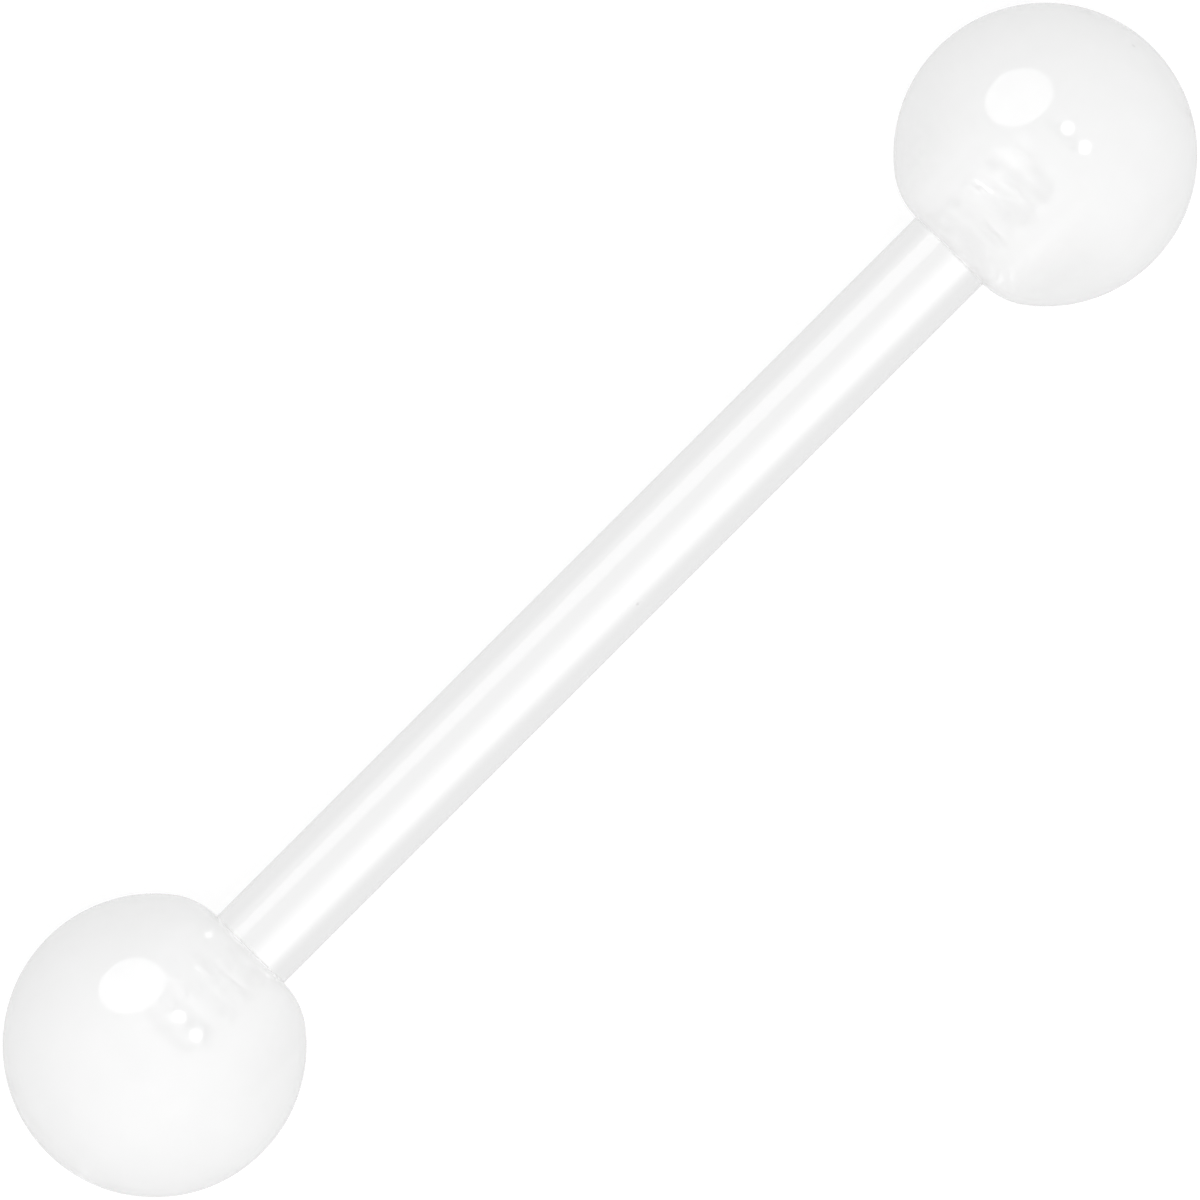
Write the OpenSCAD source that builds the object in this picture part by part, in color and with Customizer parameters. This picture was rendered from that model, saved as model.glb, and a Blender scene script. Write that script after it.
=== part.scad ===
// Straight barbell for a tongue piercing: a plain bar with a threaded stud at each end,
// and two balls that screw onto the studs.
// The bar lies along X, and the part rests on both balls at z = 0.

/* [Balls] */
// Diameter of each ball
ball_d = 5; // [4:0.1:8]
// How much of the ball the flat neck face takes off
face_cut = 0.276; // [0.15:0.01:0.5]
// Radius that rounds the neck face into the ball
rim_r = 1.24; // [0.6:0.02:1.5]
// How far each ball is turned on its thread
ball_turn = 90; // [0:5:355]

/* [Bar] */
// Length of the bar that shows between the two neck faces
bar_len = 16.25; // [8:0.25:24]
// Diameter of the bar
bar_d = 1.56; // [1.2:0.02:2]

/* [Thread] */
// How far the stud's crests stay inside the bar's surface, which leaves a shoulder
shoulder_w = 0.07; // [0.05:0.01:0.12]
// Length of the stud from the bar's shoulder to its tip
stud_len = 2; // [1.4:0.05:2.6]
// Distance from one thread crest to the next
pitch = 0.35; // [0.25:0.05:0.5]
// Width of the flat between two crests, which are sharp
root_w = 0.12; // [0.05:0.01:0.15]
// Angle between the two flanks of a crest
flank_angle = 60; // [50:1:65]
// Plain neck between the shoulder and the first crest
relief_len = 0.1; // [0.05:0.01:0.3]
// Bevel on the stud's tip
tip_bevel = 0.12; // [0.05:0.01:0.2]

/* [Hole in each ball] */
// How deep the bar's shoulder sits inside the neck face
seat_depth = 0.12; // [0.05:0.01:0.15]
// Depth of the grooves that the tap leaves in the hole
groove_depth = 0.08; // [0.04:0.01:0.12]
// Room between the stud's tip and the end of the hole's straight wall
tip_room = 0.15; // [0.05:0.05:0.5]
// Full angle of the drill's point at the bottom of the hole
drill_angle = 118; // [90:1:140]

/* [Clearances] */
// Gap around the bar where it enters a neck face
bar_gap = 0.03; // [0.02:0.005:0.05]
// Gap between the bar's shoulder and the bottom of its seat
seat_gap = 0.03; // [0.02:0.005:0.05]
// Gap between the stud's crests and the hole's wall
thread_gap = 0.03; // [0.02:0.005:0.05]

/* [Hidden] */
$fn = 96;

ball_r = ball_d / 2;
bar_r = bar_d / 2;
face_h = ball_r - face_cut;

// The rounded rim touches the ball from inside, and its circle also touches the face's plane.
rim_h = face_h - rim_r;
rim_x = sqrt(pow(ball_r - rim_r, 2) - pow(rim_h, 2));
rim_turn = atan2(rim_x, rim_h);
touch = ball_r * [sin(rim_turn), cos(rim_turn)];

crest_r = bar_r - shoulder_w;
flank_w = (pitch - root_w) / 2;
thread_depth = flank_w / tan(flank_angle / 2);
root_r = crest_r - thread_depth;
turns = floor((stud_len - relief_len - tip_bevel) / pitch);
shank_len = bar_len + 2 * (seat_depth - seat_gap);

seat_r = bar_r + bar_gap;
hole_r = crest_r + thread_gap;
stud_start = seat_depth - seat_gap;
hole_depth = stud_start + stud_len + tip_room;
point_h = hole_r / tan(drill_angle / 2);
over = 0.5;

// Outline of a row of sharp thread crests, as [radius, height] points that climb from height start.
function crests(base, top, start) = [
    for (i = [0 : turns - 1])
        for (p = [[base, 0], [top, flank_w], [base, 2 * flank_w]])
            [p[0], start + i * pitch + p[1]]
];

// Half outline of a ball: the flat neck face is at the top, and the ball's centre is at [0, 0].
module ball_outline() {
    intersection() {
        union() {
            intersection() {
                circle(ball_r);
                translate([0, -ball_r]) square([ball_r, ball_r + touch[1]]);
            }
            translate([rim_x, rim_h]) circle(rim_r);
            polygon([[0, touch[1]], touch, [rim_x, face_h], [0, face_h]]);
        }
        translate([0, -ball_r]) square([ball_r, ball_r + face_h]);
    }
}

// Half outline of the hole, with height 0 on the neck face and the hole going up.
module hole_outline() {
    polygon(concat(
        [[0, -over], [seat_r, -over], [seat_r, seat_depth], [hole_r, seat_depth]],
        crests(hole_r, hole_r + groove_depth, stud_start + relief_len),
        [[hole_r, hole_depth], [0, hole_depth + point_h]]
    ));
}

// A ball with its neck face at height 0, its body above it and its hole open downwards.
module ball() {
    difference() {
        translate([0, 0, face_h]) mirror([0, 0, 1]) rotate_extrude() ball_outline();
        rotate_extrude() hole_outline();
    }
}

// A stud that stands on the bar's shoulder at height 0.
module stud() {
    rotate_extrude() polygon(concat(
        [[0, -over], [root_r, -over]],
        crests(root_r, crest_r, relief_len),
        [[root_r, stud_len - tip_bevel], [root_r - tip_bevel, stud_len], [0, stud_len]]
    ));
}

// Lays something made along Z on one end of the bar, and the other end gets its mirror image.
module at_right_end(from_middle) {
    translate([from_middle, 0, ball_r]) rotate([0, 90, 0]) children();
}
module at_left_end(from_middle) {
    mirror([1, 0, 0]) at_right_end(from_middle) children();
}

module bar() {
    color([0.97, 0.97, 0.96]) union() {
        translate([-shank_len / 2, 0, ball_r]) rotate([0, 90, 0]) cylinder(h = shank_len, r = bar_r);
        at_left_end(shank_len / 2) stud();
        at_right_end(shank_len / 2) stud();
    }
}

module left_ball() {
    color([0.93, 0.93, 0.92]) at_left_end(bar_len / 2) rotate([0, 0, ball_turn]) ball();
}

module right_ball() {
    color([0.93, 0.93, 0.92]) at_right_end(bar_len / 2) rotate([0, 0, ball_turn]) ball();
}

bar();
left_ball();
right_ball();
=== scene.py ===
# %% [markdown]
# # A tongue barbell
# The real object is three pieces of acrylic: a slim bar with a threaded stud at each end,
# and two balls that screw onto the studs. The bar is almost clear and the balls are milky,
# so the picture is made by light that goes through them as much as by light on them.
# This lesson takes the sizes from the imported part, models each piece with Blender's own
# operators, gives it a finish, and lights it as it lay on a white table.

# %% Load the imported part
import math

import bpy
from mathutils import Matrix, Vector


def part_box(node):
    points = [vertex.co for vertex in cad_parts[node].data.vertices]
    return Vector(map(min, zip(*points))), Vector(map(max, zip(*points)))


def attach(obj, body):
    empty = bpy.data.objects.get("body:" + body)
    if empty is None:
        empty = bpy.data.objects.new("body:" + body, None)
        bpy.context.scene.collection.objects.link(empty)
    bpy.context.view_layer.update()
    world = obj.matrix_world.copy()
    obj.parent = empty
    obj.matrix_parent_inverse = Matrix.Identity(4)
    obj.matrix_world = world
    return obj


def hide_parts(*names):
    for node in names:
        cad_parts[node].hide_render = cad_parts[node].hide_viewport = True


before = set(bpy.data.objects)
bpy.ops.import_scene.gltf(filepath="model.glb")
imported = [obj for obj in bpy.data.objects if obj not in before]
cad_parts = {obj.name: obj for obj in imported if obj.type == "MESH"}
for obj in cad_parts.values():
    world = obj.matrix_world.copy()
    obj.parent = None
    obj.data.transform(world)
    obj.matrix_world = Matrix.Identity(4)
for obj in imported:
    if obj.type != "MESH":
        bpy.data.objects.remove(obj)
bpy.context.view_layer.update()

# %% [markdown]
# ## Sizes
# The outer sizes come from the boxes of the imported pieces, so the finished pieces lie
# exactly where the plain ones do. The small sizes inside a ball can't be read from a box,
# so they are named here. Everything is in metres, and MM keeps the numbers readable.

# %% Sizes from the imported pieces
MM = 0.001
ball_low, ball_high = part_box("right_ball")
bar_low, bar_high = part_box("bar")
ball_r = (ball_high.z - ball_low.z) / 2
bar_r = (bar_high.z - bar_low.z) / 2
axis_z = (bar_high.z + bar_low.z) / 2
neck_x = ball_low.x
ball_x = ball_high.x - ball_r
stud_tip_x = bar_high.x
print(f"ball {2 * ball_r / MM:.2f} mm, bar {2 * bar_r / MM:.2f} mm, neck face at x {neck_x / MM:.2f} mm")

# %% Sizes of the neck, the thread and the hole
rim_r = 1.24 * MM
bar_gap = 0.03 * MM
shoulder_w = 0.07 * MM
seat_depth = 0.12 * MM
seat_gap = 0.03 * MM
edge_break = 0.02 * MM
pitch = 0.35 * MM
thread_depth = 0.2 * MM
crest_flat = 0.04 * MM
root_flat = 0.08 * MM
relief_len = 0.1 * MM
tip_bevel = 0.26 * MM
thread_gap = 0.03 * MM
groove_depth = 0.08 * MM
tip_room = 0.15 * MM
drill_angle = math.radians(118)

seat_r = bar_r + bar_gap
crest_r = bar_r - shoulder_w
root_r = crest_r - thread_depth
shoulder_x = neck_x + seat_depth - seat_gap
hole_r = crest_r + thread_gap
hole_end_x = stud_tip_x + tip_room
print(f"stud {(stud_tip_x - shoulder_x) / MM:.2f} mm long, {2 * crest_r / MM:.2f} mm across its crests")

# %% [markdown]
# ## Helpers for modelling
# Every operator works on all that is selected, and loading the part leaves its pieces
# selected. So each step begins by deselecting everything, and then picks what it needs by
# name or by place. An outline is drawn as by hand: one vertex is extruded from point to
# point, and a spin turns the outline round the bar's axis.

# %% Helpers for modelling
ROUND = 256
MERGE_BELOW = 1e-4 * MM


def start_clean():
    """Leaves edit mode and deselects every object."""
    if bpy.context.object and bpy.context.object.mode != "OBJECT":
        bpy.ops.object.mode_set(mode="OBJECT")
    bpy.ops.object.select_all(action="DESELECT")


def pick(*objects):
    """Selects these objects only, and the last one becomes the active one."""
    start_clean()
    for each in objects:
        each.select_set(True)
        bpy.context.view_layer.objects.active = each


def on_axis(x, radius):
    """A point at this height along the bar's axis and this far from it."""
    return Vector((x, 0, axis_z + radius))


def draw_outline(name, points):
    """Extrudes one vertex from point to point and stays in edit mode, with all of it selected."""
    start_clean()
    bpy.ops.mesh.primitive_plane_add(size=edge_break, location=points[0])
    outline = bpy.context.object
    outline.name = name
    bpy.ops.object.transform_apply(location=True, rotation=True, scale=True)
    bpy.ops.object.mode_set(mode="EDIT")
    bpy.ops.mesh.select_mode(type="VERT")
    bpy.ops.mesh.select_all(action="SELECT")
    bpy.ops.mesh.merge(type="CENTER")
    for here, there in zip(points, points[1:]):
        bpy.ops.mesh.extrude_vertices_move(TRANSFORM_OT_translate={"value": there - here})
    bpy.ops.mesh.select_all(action="SELECT")
    return outline


def close_and_orient():
    """Merges doubled vertices and turns all faces outwards, then leaves edit mode."""
    bpy.ops.mesh.select_all(action="SELECT")
    bpy.ops.mesh.remove_doubles(threshold=MERGE_BELOW)
    bpy.ops.mesh.normals_make_consistent(inside=False)
    bpy.ops.object.mode_set(mode="OBJECT")


def turn_on_lathe(name, points):
    """Spins an outline round the bar's axis into a closed solid."""
    piece = draw_outline(name, points)
    bpy.ops.mesh.spin(steps=ROUND, angle=2 * math.pi, center=(0, 0, axis_z), axis=(1, 0, 0))
    close_and_orient()
    return piece


def combine(piece, other, operation):
    """Joins, cuts or intersects piece with other, and other is used up."""
    pick(piece)
    boolean = piece.modifiers.new(operation.title(), "BOOLEAN")
    boolean.operation = operation
    boolean.solver = "MANIFOLD"
    boolean.object = other
    bpy.ops.object.modifier_apply(modifier=boolean.name)
    bpy.data.objects.remove(other, do_unlink=True)
    return piece


def arc(centre_x, centre_r, radius, first, last, steps):
    """Points on an arc; an angle of 0 points along +X and 90 away from the axis."""
    turns = [math.radians(first + (last - first) * i / steps) for i in range(steps + 1)]
    return [on_axis(centre_x + radius * math.cos(t), centre_r + radius * math.sin(t)) for t in turns]


# %% [markdown]
# ## A helical thread
# A real thread is one ridge that winds along the stud. One pitch of its outline is drawn,
# and the Screw modifier winds it round the axis and moves it on by one pitch each turn. The
# two open ends are filled and poked, so that the thread is a closed body that a boolean
# can cut or join.

# %% A helical thread
THREAD_ROUND = 64


def wind_thread(name, start_x, turns, inner_r, outer_r):
    """A closed threaded body from start_x along +X, with its roots at inner_r and its crests at outer_r."""
    flank = (pitch - crest_flat - root_flat) / 2
    steps = [(0, inner_r), (root_flat, inner_r), (root_flat + flank, outer_r),
             (root_flat + flank + crest_flat, outer_r), (pitch, inner_r)]
    body = draw_outline(name, [on_axis(start_x + x, r) for x, r in steps])
    bpy.ops.object.mode_set(mode="OBJECT")
    pivot = bpy.data.objects.new("thread_axis", None)
    pivot.location = (0, 0, axis_z)
    bpy.context.scene.collection.objects.link(pivot)
    screw = body.modifiers.new("Screw", "SCREW")
    screw.axis = "X"
    screw.object = pivot
    screw.angle = 2 * math.pi
    screw.screw_offset = pitch
    screw.iterations = turns
    screw.steps = THREAD_ROUND
    screw.render_steps = THREAD_ROUND
    pick(body)
    bpy.ops.object.modifier_apply(modifier=screw.name)
    bpy.data.objects.remove(pivot)
    bpy.ops.object.mode_set(mode="EDIT")
    bpy.ops.mesh.select_all(action="SELECT")
    bpy.ops.mesh.remove_doubles(threshold=MERGE_BELOW)
    middle_x = start_x + (turns + 1) * pitch / 2
    for side in (-1, 1):
        fill_end(body, middle_x, side)
    close_and_orient()
    return body


def fill_end(body, middle_x, side):
    """Fills the open end of a wound thread on one side of its middle."""
    bpy.ops.mesh.select_mode(type="EDGE")
    bpy.ops.mesh.select_all(action="DESELECT")
    bpy.ops.mesh.select_non_manifold(extend=False, use_wire=False, use_boundary=True,
                                     use_multi_face=False, use_non_contiguous=False, use_verts=False)
    bpy.ops.object.mode_set(mode="OBJECT")
    vertices = body.data.vertices
    for edge in body.data.edges:
        x = (vertices[edge.vertices[0]].co.x + vertices[edge.vertices[1]].co.x) / 2
        edge.select = edge.select and (x - middle_x) * side > 0
    for vertex in vertices:
        vertex.select = False
    for edge in body.data.edges:
        if edge.select:
            vertices[edge.vertices[0]].select = True
            vertices[edge.vertices[1]].select = True
    bpy.ops.object.mode_set(mode="EDIT")
    bpy.ops.mesh.edge_face_add()
    bpy.ops.mesh.poke()


print("a thread turn is wound in", THREAD_ROUND, "steps")

# %% [markdown]
# ## The bar
# The bar is turned from one rod. Its stud starts as a turned blank with a bevelled tip and
# a narrow relief behind the first turn, and the wound thread is intersected with it, which
# leaves the thread's ends cut as a die leaves them. The shank is a cylinder with broken
# edges, and each stud is joined to it.

# %% One stud
def make_stud():
    """The stud at the bar's +X end, with enough of its root to join it to the shank."""
    joined_len = 3 * pitch
    root_x = shoulder_x - joined_len
    neck_r = root_r - edge_break
    tip_r = crest_r - tip_bevel
    outline = [on_axis(root_x, 0), on_axis(root_x, neck_r), on_axis(shoulder_x + relief_len, neck_r),
               on_axis(shoulder_x + relief_len, crest_r), on_axis(stud_tip_x - tip_bevel, crest_r),
               on_axis(stud_tip_x, tip_r), on_axis(stud_tip_x, 0)]
    stud = turn_on_lathe("stud", outline)
    thread_x = root_x - 1.5 * pitch
    turns = math.ceil((stud_tip_x - root_x) / pitch) + 2
    thread = wind_thread("stud_thread", thread_x, turns, root_r, crest_r + edge_break)
    return combine(stud, thread, "INTERSECT")


stud = make_stud()
print("stud:", len(stud.data.polygons), "faces")

# %% The bar
start_clean()
bpy.ops.mesh.primitive_cylinder_add(vertices=ROUND, radius=bar_r, depth=2 * shoulder_x,
                                    location=(0, 0, axis_z), rotation=(0, math.pi / 2, 0))
bar = bpy.context.object
bar.name = "clear_bar"
bpy.ops.object.transform_apply(location=True, rotation=True, scale=True)
bevel = bar.modifiers.new("Broken edges", "BEVEL")
bevel.width = edge_break
bevel.segments = 3
bevel.limit_method = "ANGLE"
bpy.ops.object.modifier_apply(modifier=bevel.name)
pick(stud)
bpy.ops.object.duplicate()
far_stud = bpy.context.object
far_stud.rotation_euler = (0, 0, math.pi)
bpy.ops.object.transform_apply(location=True, rotation=True, scale=True)
combine(bar, stud, "UNION")
combine(bar, far_stud, "UNION")
print("bar:", len(bar.data.polygons), "faces")

# %% Two cuts that keep the shank's shading straight
pick(bar)
bpy.ops.object.mode_set(mode="EDIT")
for side in (-1, 1):
    bpy.ops.mesh.select_all(action="SELECT")
    bpy.ops.mesh.bisect(plane_co=(side * neck_x, 0, axis_z), plane_no=(1, 0, 0), threshold=MERGE_BELOW)
start_clean()
print("bar cut at its two neck faces:", len(bar.data.polygons), "faces")

# %% [markdown]
# ## The balls
# Each ball is turned too: a sphere whose neck side ends in a small seat for the bar's
# shoulder, with a wide rounding between the two. The outline runs from the far pole round
# the sphere, over the rounding and down the hole to the drill's point. A tap then cuts the
# thread in the hole. The second ball is a copy that is turned round to the other end.

# %% One ball
SPHERE_STEPS = 144
ROUNDING_STEPS = 32


def make_ball():
    """The ball at the bar's +X end, with its tapped hole."""
    face_h = ball_x - neck_x
    rim_h = face_h - rim_r
    rim_out = math.sqrt((ball_r - rim_r) ** 2 - rim_h ** 2)
    touch = 180 - math.degrees(math.atan2(rim_out, rim_h))
    lip = 180 - math.degrees(math.asin((seat_r + edge_break - rim_out) / rim_r))
    sphere = arc(ball_x, 0, ball_r, 0, touch, SPHERE_STEPS)
    rounding = arc(neck_x + rim_r, rim_out, rim_r, touch, lip, ROUNDING_STEPS)
    mouth_x = rounding[-1].x + edge_break
    point_len = hole_r / math.tan(drill_angle / 2)
    hole = [on_axis(mouth_x, seat_r), on_axis(neck_x + seat_depth, seat_r),
            on_axis(neck_x + seat_depth, hole_r + edge_break),
            on_axis(neck_x + seat_depth + edge_break, hole_r),
            on_axis(hole_end_x, hole_r), on_axis(hole_end_x + point_len, 0)]
    ball = turn_on_lathe("milky_ball_right", sphere + rounding[1:] + hole)
    tap_x = shoulder_x + relief_len
    turns = math.floor((hole_end_x - tap_x) / pitch) - 2
    tap = wind_thread("tap", tap_x, turns, hole_r - groove_depth, hole_r + groove_depth)
    return combine(ball, tap, "DIFFERENCE")


right_ball = make_ball()
print("ball:", len(right_ball.data.polygons), "faces")

# %% The second ball
pick(right_ball)
bpy.ops.object.duplicate()
left_ball = bpy.context.object
left_ball.name = "milky_ball_left"
left_ball.rotation_euler = (0, 0, math.pi)
bpy.ops.object.transform_apply(location=True, rotation=True, scale=True)
print("second ball's own mesh:", left_ball.data.name)

# %% Smooth the round faces and keep the true edges
SMOOTH_BELOW = math.radians(28)
for piece in (bar, right_ball, left_ball):
    pick(piece)
    bpy.ops.object.shade_smooth_by_angle(angle=SMOOTH_BELOW)
    piece.data.name = piece.name
    print(piece.name, len(piece.data.polygons), "faces")

# %% [markdown]
# ## Shader helper
# Shader maths is easier to read as sums than as boxes and wires. Value wraps the output of a
# node, so that a sum or product on it adds the Math node for it. Finish makes one material,
# and its one method adds any other node: settings first, then the sockets.

# %% Shader helper
class Value:
    """A number that leaves a node."""

    def __init__(self, finish, socket):
        self.finish = finish
        self.socket = socket

    def maths(self, operation, first, second=0.0):
        return self.finish.add("ShaderNodeMath", {"operation": operation}, {0: first, 1: second})

    def __add__(self, other):
        return self.maths("ADD", self, other)

    def __radd__(self, other):
        return self.maths("ADD", other, self)

    def __sub__(self, other):
        return self.maths("SUBTRACT", self, other)

    def __rsub__(self, other):
        return self.maths("SUBTRACT", other, self)

    def __mul__(self, other):
        return self.maths("MULTIPLY", self, other)

    def __rmul__(self, other):
        return self.maths("MULTIPLY", other, self)

    def __lt__(self, other):
        return self.maths("LESS_THAN", self, other)

    def __gt__(self, other):
        return self.maths("GREATER_THAN", self, other)

    def __abs__(self):
        return self.maths("ABSOLUTE", self)


class Finish:
    """A material, or the light of a room or lamp, that is being made of nodes."""

    def __init__(self, owner):
        self.owner = owner
        owner.use_nodes = True
        owner.node_tree.nodes.clear()

    def add(self, kind, settings, sockets, output=0):
        """Adds a node, sets it up, feeds its sockets and gives one of its outputs."""
        node = self.owner.node_tree.nodes.new(kind)
        for name, value in settings.items():
            setattr(node, name, value)
        for name, value in sockets.items():
            if isinstance(value, Value):
                self.owner.node_tree.links.new(value.socket, node.inputs[name])
            else:
                node.inputs[name].default_value = value
        return Value(self, node.outputs[output]) if node.outputs else node


print("shader helper ready")

# %% [markdown]
# ## The milky acrylic of the balls
# Milky acrylic is a clear plastic with a fine white haze in it. Light enters, wanders about
# and comes out somewhere else, so the ball looks soft and even under a hard, polished
# surface. Two finishes are mixed for it: a milky one, in which light wanders, and a clear
# one, through which the thread inside shows faintly. A slow noise makes the haze a little
# uneven, as in poured plastic, and the shoulders beside the neck are clearer than the rest.
# On the way out of the ball, and at the wall of its hole, only the clear finish is used,
# because the milky one would stop the light there.

# %% Numbers for the acrylic
ACRYLIC_IOR = 1.49
WHITE = (1.0, 1.0, 1.0, 1.0)
haze_depth = 0.8 * MM
right_clear_share = 0.42
left_clear_share = 0.3
hole_wall_r = hole_r + groove_depth + edge_break
hole_tip_x = hole_end_x + hole_r / math.tan(drill_angle / 2) + edge_break
print(f"light wanders {haze_depth / MM} mm deep into the milk")


# %% Helpers that find a place on a piece
def places(finish):
    """The points of a surface, measured from the part's origin."""
    return finish.add("ShaderNodeTexCoord", {}, {}, output="Object")


def coordinate(finish, axis):
    """The X, Y or Z of the points of a surface."""
    return finish.add("ShaderNodeSeparateXYZ", {}, {0: places(finish)}, output=axis)


def off_axis(finish):
    """How far the points lie from the bar's axis."""
    flat = finish.add("ShaderNodeVectorMath", {"operation": "MULTIPLY_ADD"}, {
        0: places(finish), 1: (0, 1, 1), 2: (0, 0, -axis_z)})
    return finish.add("ShaderNodeVectorMath", {"operation": "LENGTH"}, {0: flat}, output="Value")


def ramp(finish, value, start, end):
    """0 at start and beyond it, 1 at end and beyond it, and a soft rise between them."""
    return finish.add("ShaderNodeMapRange", {"interpolation_type": "SMOOTHSTEP"}, {
        "Value": value, "From Min": start, "From Max": end, "To Min": 0.0, "To Max": 1.0})


def larger(finish, one, other):
    """The larger one of two values."""
    return finish.add("ShaderNodeMath", {"operation": "MAXIMUM"}, {0: one, 1: other})


def noise(finish, scale, detail):
    """A slow noise between 0 and 1 that stays with the surface."""
    return finish.add("ShaderNodeTexNoise", {}, {
        "Vector": places(finish), "Scale": scale, "Detail": detail})


print("place helpers ready")


# %% Helpers for clear plastic and dust
def clear_plastic(finish, roughness):
    """Clear acrylic with this roughness."""
    return finish.add("ShaderNodeBsdfPrincipled", {}, {
        "Base Color": WHITE,
        "Roughness": roughness,
        "IOR": ACRYLIC_IOR,
        "Transmission Weight": 1.0,
    })


def add_speck(finish, surface, place, size, strength):
    """Mixes a tiny speck of dark dust into a finish, near this place on the surface."""
    distance = finish.add("ShaderNodeVectorMath", {"operation": "DISTANCE"}, {
        0: places(finish), 1: place}, output="Value")
    covered = ramp(finish, distance, size, size * 0.4) * strength
    dust = finish.add("ShaderNodeBsdfPrincipled", {}, {
        "Base Color": (0.35, 0.34, 0.33, 1), "Roughness": 0.5})
    return finish.add("ShaderNodeMixShader", {}, {0: covered, 1: surface, 2: dust})


print("plastic and dust ready")

# %% Where the milk is clearer
plain_clearness = 0.85
shoulder_clearness = 0.9
cloud_low = 0.7
cloud_spread = 0.6
shoulder_ends = (neck_x + 2.4 * MM, neck_x + 0.6 * MM)
shoulder_sides = (0.9 * MM, 1.7 * MM)


def clear_part(finish, cloud, clear_share):
    """How much of the surface is clear: most on the shoulders, and a little uneven everywhere."""
    near_neck = ramp(finish, abs(coordinate(finish, "X")), *shoulder_ends)
    beside_bar = ramp(finish, abs(coordinate(finish, "Y")), *shoulder_sides)
    here = plain_clearness + near_neck * beside_bar * shoulder_clearness
    return clear_share * here * (cloud_low + cloud * cloud_spread)


print(f"clear shares: right {right_clear_share}, left {left_clear_share}")

# %% The milky acrylic
polish = 0.005
polish_spread = 0.01
clear_roughness = 0.05
tap_roughness = 0.06
ball_speck = (ball_x + 2.27 * MM, 0.24 * MM, axis_z + 1.03 * MM)


def make_milky(name, clear_share):
    """Polished white acrylic that light goes into, with a clear hole and clear inner faces."""
    finish = Finish(bpy.data.materials.new(name))
    cloud = noise(finish, scale=420.0, detail=2.0)
    along = abs(coordinate(finish, "X"))
    past_seat = along > neck_x + seat_depth + edge_break
    in_hole = (off_axis(finish) < hole_wall_r) * past_seat * (along < hole_tip_x)
    on_tap = in_hole * (along < hole_end_x - edge_break)
    milk = finish.add("ShaderNodeBsdfPrincipled", {"subsurface_method": "RANDOM_WALK"}, {
        "Base Color": WHITE,
        "Roughness": polish + cloud * polish_spread,
        "IOR": ACRYLIC_IOR,
        "Subsurface Weight": 1.0,
        "Subsurface Radius": (1.0, 1.0, 1.0),
        "Subsurface Scale": haze_depth,
    })
    glass = clear_plastic(finish, clear_roughness + cloud * polish_spread + on_tap * tap_roughness)
    way_out = finish.add("ShaderNodeNewGeometry", {}, {}, output="Backfacing")
    clearness = larger(finish, larger(finish, way_out, in_hole), clear_part(finish, cloud, clear_share))
    surface = finish.add("ShaderNodeMixShader", {}, {0: clearness, 1: milk, 2: glass})
    dusty = add_speck(finish, surface, ball_speck, size=0.05 * MM, strength=0.3)
    finish.add("ShaderNodeOutputMaterial", {}, {"Surface": dusty})
    return finish.owner


milky_right = make_milky("milky_acrylic_right", right_clear_share)
milky_left = make_milky("milky_acrylic_left", left_clear_share)
print("made", milky_right.name, milky_left.name)

# %% [markdown]
# ## The clear acrylic of the bar
# The bar is clearer than the balls, with only a trace of haze in a slightly uneven surface.
# It is a long lens close above the table, and shows what lies under it as two light stripes.
# A die leaves the threads white and frosted, and wears their crests most, so the frost is
# stronger there than in the roots. That is what makes the thread show through the balls.

# %% The clear acrylic
bar_roughness = 0.1
bar_roughness_spread = 0.06
root_frost = 0.42
crest_frost = 0.28
bar_speck = (0.39 * MM, -0.48 * MM, axis_z + 0.61 * MM)


def make_clear(name):
    """Polished clear acrylic whose surface is a little uneven, with frosted threads."""
    finish = Finish(bpy.data.materials.new(name))
    cloud = noise(finish, scale=500.0, detail=3.0)
    on_thread = abs(coordinate(finish, "X")) > shoulder_x + edge_break
    crest = ramp(finish, off_axis(finish), root_r + 0.04 * MM, crest_r - 0.04 * MM)
    shank = clear_plastic(finish, bar_roughness + cloud * bar_roughness_spread)
    frost = finish.add("ShaderNodeBsdfPrincipled", {}, {
        "Base Color": WHITE,
        "Roughness": 0.6,
        "IOR": ACRYLIC_IOR,
    })
    frosted = on_thread * (root_frost + crest * crest_frost)
    surface = finish.add("ShaderNodeMixShader", {}, {0: frosted, 1: shank, 2: frost})
    dusty = add_speck(finish, surface, bar_speck, size=0.04 * MM, strength=0.2)
    finish.add("ShaderNodeOutputMaterial", {}, {"Surface": dusty})
    return finish.owner


clear = make_clear("clear_acrylic")
print("made", clear.name)

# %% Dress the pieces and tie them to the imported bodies
DRESSED = [
    (bar, clear, "bar", "clear_bar"),
    (left_ball, milky_left, "left_ball", "milky_ball"),
    (right_ball, milky_right, "right_ball", "milky_ball"),
]
for piece, material, node, slot in DRESSED:
    piece.data.materials.clear()
    piece.data.materials.append(material)
    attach(piece, node)
    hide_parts(node)
    print(piece.name, "rides on", node)

# %% [markdown]
# ## The table and the room
# The photograph's table is over-exposed, and so it is plain white. What the balls
# mirror and what the bar gathers from below is calmer, about 0.83 of white. So the table has
# two looks. The camera sees a white one, which can take a contact shade. All other rays see
# an even glow with a painted strip of brighter light under the bar, and the bar bends that
# painted light into its two light stripes. The room glows as evenly, a little less towards the picture's
# top.

# %% Directions in the picture
PICTURE_TURN = math.radians(-45)
right_way = Vector((math.cos(PICTURE_TURN), math.sin(PICTURE_TURN), 0))
up_way = Vector((-math.sin(PICTURE_TURN), math.cos(PICTURE_TURN), 0))
centre = Vector((0, 0, axis_z))


def in_picture(right, up, near):
    """Turns a direction seen in the picture, with near towards the camera, into the part's frame."""
    return (right * right_way + up * up_way + Vector((0, 0, near))).normalized()


print("picture's up is", tuple(round(v, 3) for v in up_way))

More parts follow.
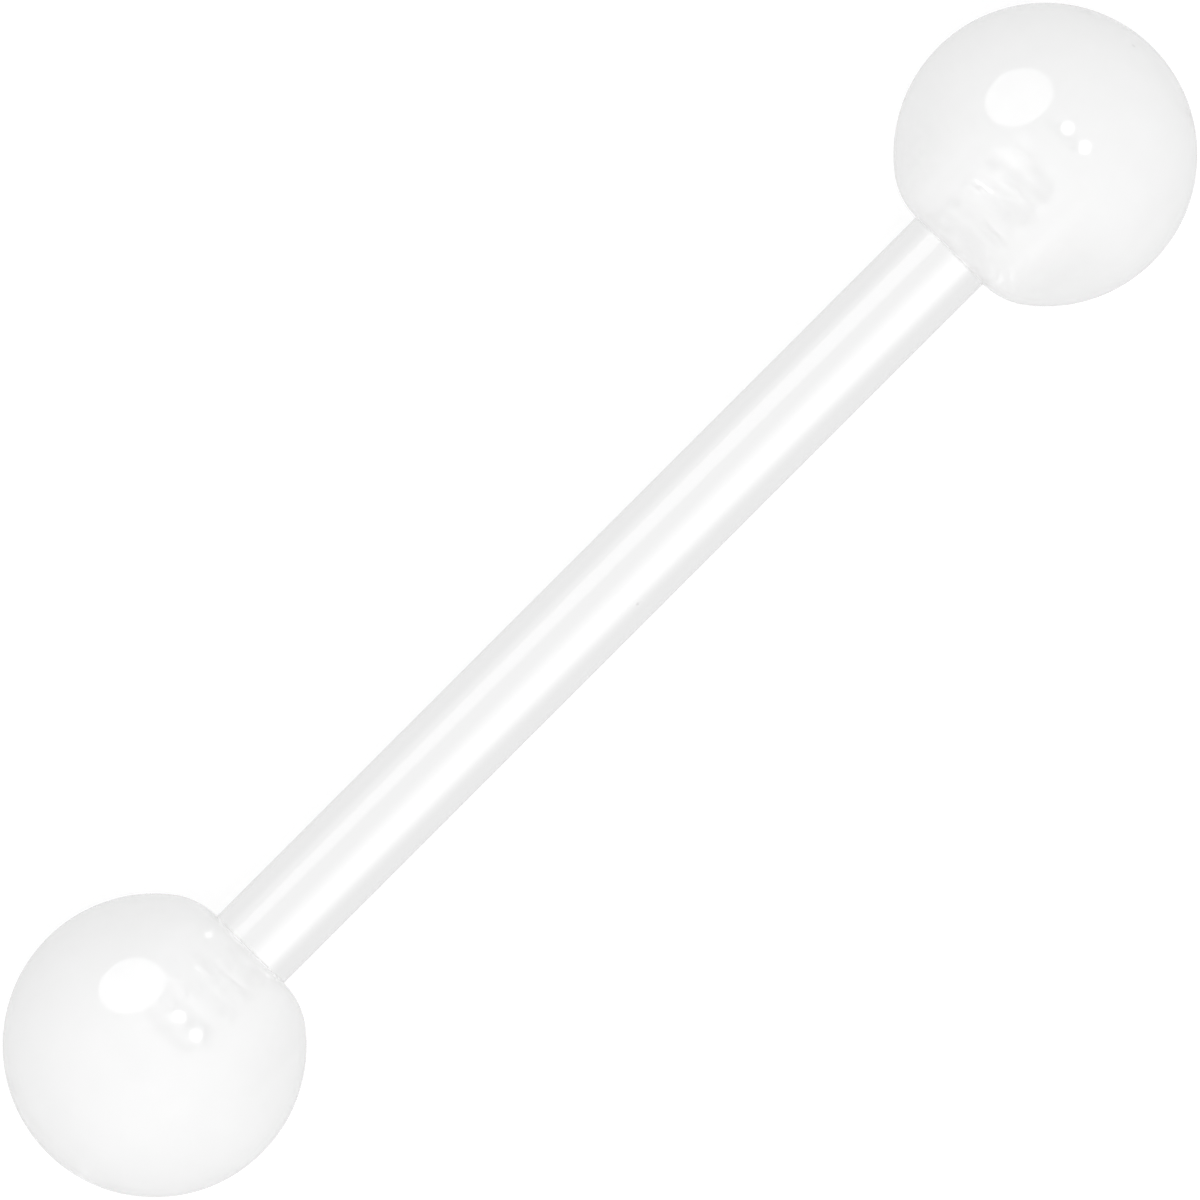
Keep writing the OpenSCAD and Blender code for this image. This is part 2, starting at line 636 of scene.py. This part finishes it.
# %% The table as the camera sees it
ROOM_BRIGHTNESS = 0.83
table_size = 3.0
start_clean()
bpy.ops.mesh.primitive_plane_add(size=table_size, location=(0, 0, 0))
table = bpy.context.object
table.name = "table"
paper = Finish(bpy.data.materials.new("white_table"))
seen = paper.add("ShaderNodeBsdfPrincipled", {}, {
    "Base Color": (0.6, 0.6, 0.6, 1),
    "Roughness": 0.9,
    "Specular IOR Level": 0.0,
    "Emission Color": WHITE,
    "Emission Strength": 0.45,
})
print("table", table_size, "m wide")


# %% The table as other rays see it, with a painted strip of light under the bar
def soft_band(value, low, high, soft):
    """1 between low and high, with soft edges that lie outside them."""
    return ramp(paper, value, low - soft, low) * ramp(paper, value, high + soft, high)


# A painted strip of brighter light on the table under the bar, seen only by rays that do not come from the
# camera.
wide_gain = 0.07
core_gain = 0.14
strip_end = neck_x + 0.6 * MM
under_bar = soft_band(coordinate(paper, "X"), low=-strip_end, high=strip_end, soft=0.6 * MM)
across = coordinate(paper, "Y")
wide_painted_light = soft_band(across, low=-0.62 * MM, high=0.62 * MM, soft=0.45 * MM)
painted_light_core = soft_band(across, low=0.25 * MM, high=0.45 * MM, soft=0.32 * MM)
strip = under_bar * (wide_painted_light * wide_gain + painted_light_core * core_gain)
around = paper.add("ShaderNodeEmission", {}, {"Color": WHITE, "Strength": strip + ROOM_BRIGHTNESS})
to_camera = paper.add("ShaderNodeLightPath", {}, {}, output="Is Camera Ray")
paper_surface = paper.add("ShaderNodeMixShader", {}, {0: to_camera, 1: around, 2: seen})
paper.add("ShaderNodeOutputMaterial", {}, {"Surface": paper_surface})
table.data.materials.append(paper.owner)
print(f"the bright strip is {2 * strip_end / MM:.1f} mm long")

# %% The room
loss_at_top = 0.05
room = Finish(bpy.data.worlds.new("pale_room"))
direction = room.add("ShaderNodeTexCoord", {}, {}, output="Generated")
towards_up = room.add("ShaderNodeVectorMath", {"operation": "DOT_PRODUCT"}, {
    0: direction, 1: up_way}, output="Value")
walls = room.add("ShaderNodeBackground", {}, {
    "Color": WHITE, "Strength": ROOM_BRIGHTNESS - towards_up * loss_at_top})
room.add("ShaderNodeOutputWorld", {}, {"Surface": walls})
bpy.context.scene.world = room.owner
bpy.context.scene.view_settings.view_transform = "Standard"
print("room brightness", ROOM_BRIGHTNESS)

# %% [markdown]
# ## How far light may travel
# A clear bar leads light along its length as a glass fibre does. With the usual few bounces
# that light is lost, and dark curls show at the necks. So the paths may be very long.

# %% How far light may travel
cycles = bpy.context.scene.cycles
cycles.max_bounces = 128
cycles.diffuse_bounces = 8
cycles.glossy_bounces = 64
cycles.transmission_bounces = 128
cycles.blur_glossy = 0.0
print("longest path", cycles.max_bounces, "bounces")

# %% [markdown]
# ## The lamps
# The highlights on the balls tell where the lamps stood: a big softbox beyond the upper left
# and two small lamps nearly overhead. A picture's own directions are easiest to think in, so
# each lamp is placed by how far it lies to the right, up the picture and towards the camera.
# These three are mirrored only. A wide, dim lamp overhead lights the milk instead. The last
# one stands at the softbox's place and gives light only to paths that have turned several
# times, which is how light gets to the thread inside a ball.


# %% The lamps that the balls mirror
def add_lamp(name, way, distance, width, height, brightness):
    """A round area lamp that faces the part from this direction. A white wall's brightness is 1."""
    light = bpy.data.lights.new(name, "AREA")
    light.shape = "ELLIPSE"
    light.size = width
    light.size_y = height
    light.energy = brightness * math.pi * (math.pi / 4 * width * height)
    lamp = bpy.data.objects.new(name, light)
    lamp.location = centre + way * distance
    lamp.rotation_euler = (-way).to_track_quat("-Z", "Y").to_euler()
    lamp.visible_camera = False
    bpy.context.scene.collection.objects.link(lamp)
    return lamp


softbox_way = in_picture(-0.299, 0.708, 0.640)
softbox_width = 0.178
softbox_height = 0.167
lamp_distance = 0.2
small_width = 0.035
small_brightness = 5.0
softbox = add_lamp("softbox", softbox_way, lamp_distance, softbox_width, softbox_height, brightness=2.0)
small_lamps = [
    add_lamp("small_lamp_1", in_picture(0.303, 0.351, 0.886), lamp_distance,
             small_width, small_width, small_brightness),
    add_lamp("small_lamp_2", in_picture(0.512, 0.113, 0.851), lamp_distance,
             small_width, small_width, small_brightness),
]
for lamp in [softbox] + small_lamps:
    lamp.visible_diffuse = False
    lamp.visible_transmission = False
print("mirrored lamps:", softbox.name, *[lamp.name for lamp in small_lamps])

# %% The lamp for the milk
overhead_way = in_picture(0.08, -0.15, 0.98)
overhead = add_lamp("overhead", overhead_way, distance=0.6, width=0.5, height=0.5, brightness=1.7)
overhead.visible_glossy = False
overhead.visible_transmission = False
print("lamp for the milk:", overhead.name)

# %% The lamp for the thread inside
TURNS_INSIDE = 3.5
glow_distance = 0.19
inner_glow = add_lamp("inner_glow", softbox_way, glow_distance,
                      softbox_width, softbox_height, brightness=1.5)
inner_glow.visible_diffuse = False
inner_glow.visible_glossy = False
glow = Finish(inner_glow.data)
steps = glow.add("ShaderNodeLightPath", {}, {}, output="Ray Depth")
glow_light = glow.add("ShaderNodeEmission", {}, {"Strength": steps > TURNS_INSIDE})
glow.add("ShaderNodeOutputLight", {}, {"Surface": glow_light})
print("lamp for the thread:", inner_glow.name)

# %% [markdown]
# ## The camera
# The photograph looks straight down, with no perspective that could be measured, so the
# camera stands far off with a long lens. It is turned so that the bar lies from the lower
# left to the upper right, as it does in the picture.

# %% The camera
PICTURE_WIDTH = 19.724 * MM
camera_distance = 450 * MM
camera_data = bpy.data.cameras.new("camera")
camera_data.sensor_width = 36
camera_data.lens = camera_data.sensor_width * camera_distance / PICTURE_WIDTH
camera_data.clip_start = 0.01
camera_data.clip_end = 10
camera = bpy.data.objects.new("camera", camera_data)
camera.location = centre + Vector((0, 0, camera_distance))
camera.rotation_euler = (0, 0, PICTURE_TURN)
bpy.context.scene.collection.objects.link(camera)
bpy.context.scene.camera = camera
print("camera", round(camera_distance / MM), "mm above the bar, lens", round(camera_data.lens), "mm")
